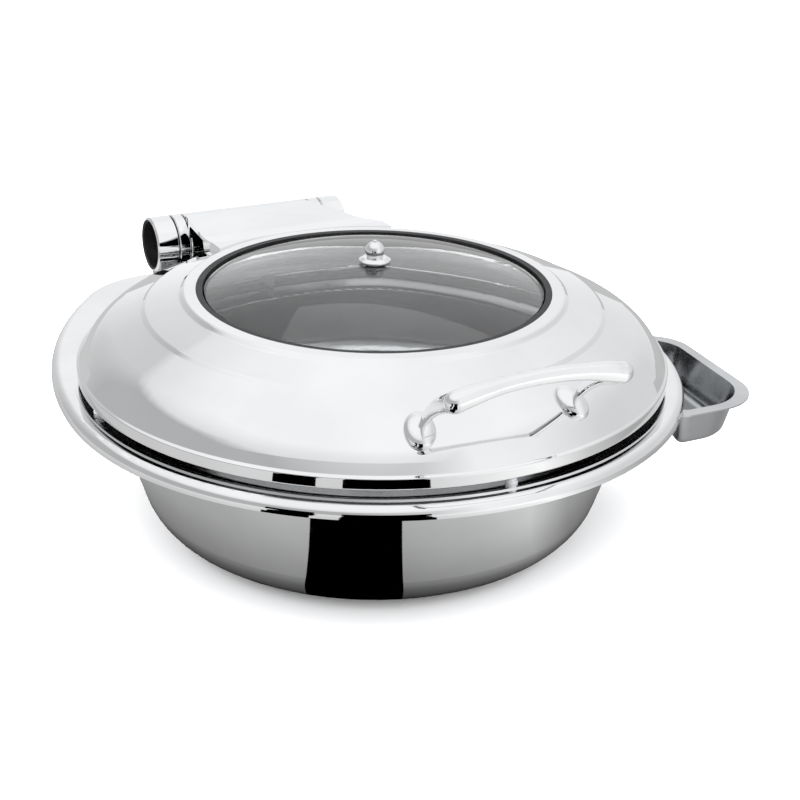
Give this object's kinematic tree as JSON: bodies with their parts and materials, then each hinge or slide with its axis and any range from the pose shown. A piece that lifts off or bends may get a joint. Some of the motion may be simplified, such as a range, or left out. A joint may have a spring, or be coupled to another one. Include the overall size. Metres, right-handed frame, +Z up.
{
  "type": "roll top chafer",
  "caption": "Round polished steel chafing dish: deep water pan under a rim deck, lift-out food pan, hinged domed lid with glass window and cast handle, spoon tray.",
  "frame": {"origin": "centre of the induction base, on the table", "axes": "+Z up; front of the chafer with the lid handle towards -Y; hinge towards +Y; spoon tray at +X"},
  "size_m": [0.5161, 0.5516, 0.2287],
  "materials": {
    "polished_steel": "mirror-polished stainless steel",
    "satin_steel": "satin stainless steel",
    "spreader_aluminium": "plain rolled aluminium, bonded inside the base",
    "clear_silicone": "translucent soft silicone",
    "black_silicone": "matt black silicone",
    "window_glass": "clear tempered glass",
    "black_nylon": "matt black nylon",
    "bush_plastic": "natural acetal"
  },
  "bodies": {
    "base": {"water_pan": "polished_steel", "heat_spreader": "spreader_aluminium", "induction_disc": "polished_steel", "rim_deck": "polished_steel", "ledge_gasket": "black_silicone", "lid_bumpers": "clear_silicone", "hinge_end_right": "polished_steel", "hinge_end_left": "polished_steel", "hinge_collar_right": "polished_steel", "hinge_collar_left": "polished_steel", "hinge_cup_right": "black_nylon", "hinge_cup_left": "black_nylon", "hinge_shaft": "satin_steel", "hinge_bracket": "polished_steel", "bracket_bolts": "satin_steel", "bracket_nuts": "satin_steel", "tray_socket": "satin_steel"},
    "lid": {"lid_shell": "polished_steel", "window_glass": "window_glass", "window_seal": "black_silicone", "window_clamp_ring": "satin_steel", "ring_studs": "satin_steel", "ring_nuts": "satin_steel", "window_knob": "polished_steel", "knob_washer": "black_silicone", "knob_seal": "black_silicone", "knob_bolt": "satin_steel", "knob_nut": "satin_steel", "hinge_barrel": "polished_steel", "hinge_bushes": "bush_plastic", "hinge_damper": "black_nylon", "hinge_arm": "polished_steel", "arm_studs": "satin_steel", "arm_washers": "satin_steel", "arm_nuts": "satin_steel", "lid_handle": "polished_steel", "handle_bolts": "satin_steel", "handle_washers": "satin_steel"},
    "food_pan": {"food_pan": "satin_steel"},
    "spoon_tray": {"spoon_tray": "polished_steel"}
  },
  "joints": [
    {"name": "lid_hinge", "type": "hinge", "parent": "base", "child": "lid", "pos_m": [0, 0.27, 0.152], "axis": [-1, 0, 0], "range_deg": [0, 90]},
    {"name": "food_pan_lift", "type": "slide", "parent": "base", "child": "food_pan", "axis": [0, 0, 1], "range_m": [0, 0.03]},
    {"name": "spoon_tray_slide", "type": "slide", "parent": "base", "child": "spoon_tray", "axis": [1, 0, 0], "range_m": [0, 0.03]}
  ]
}
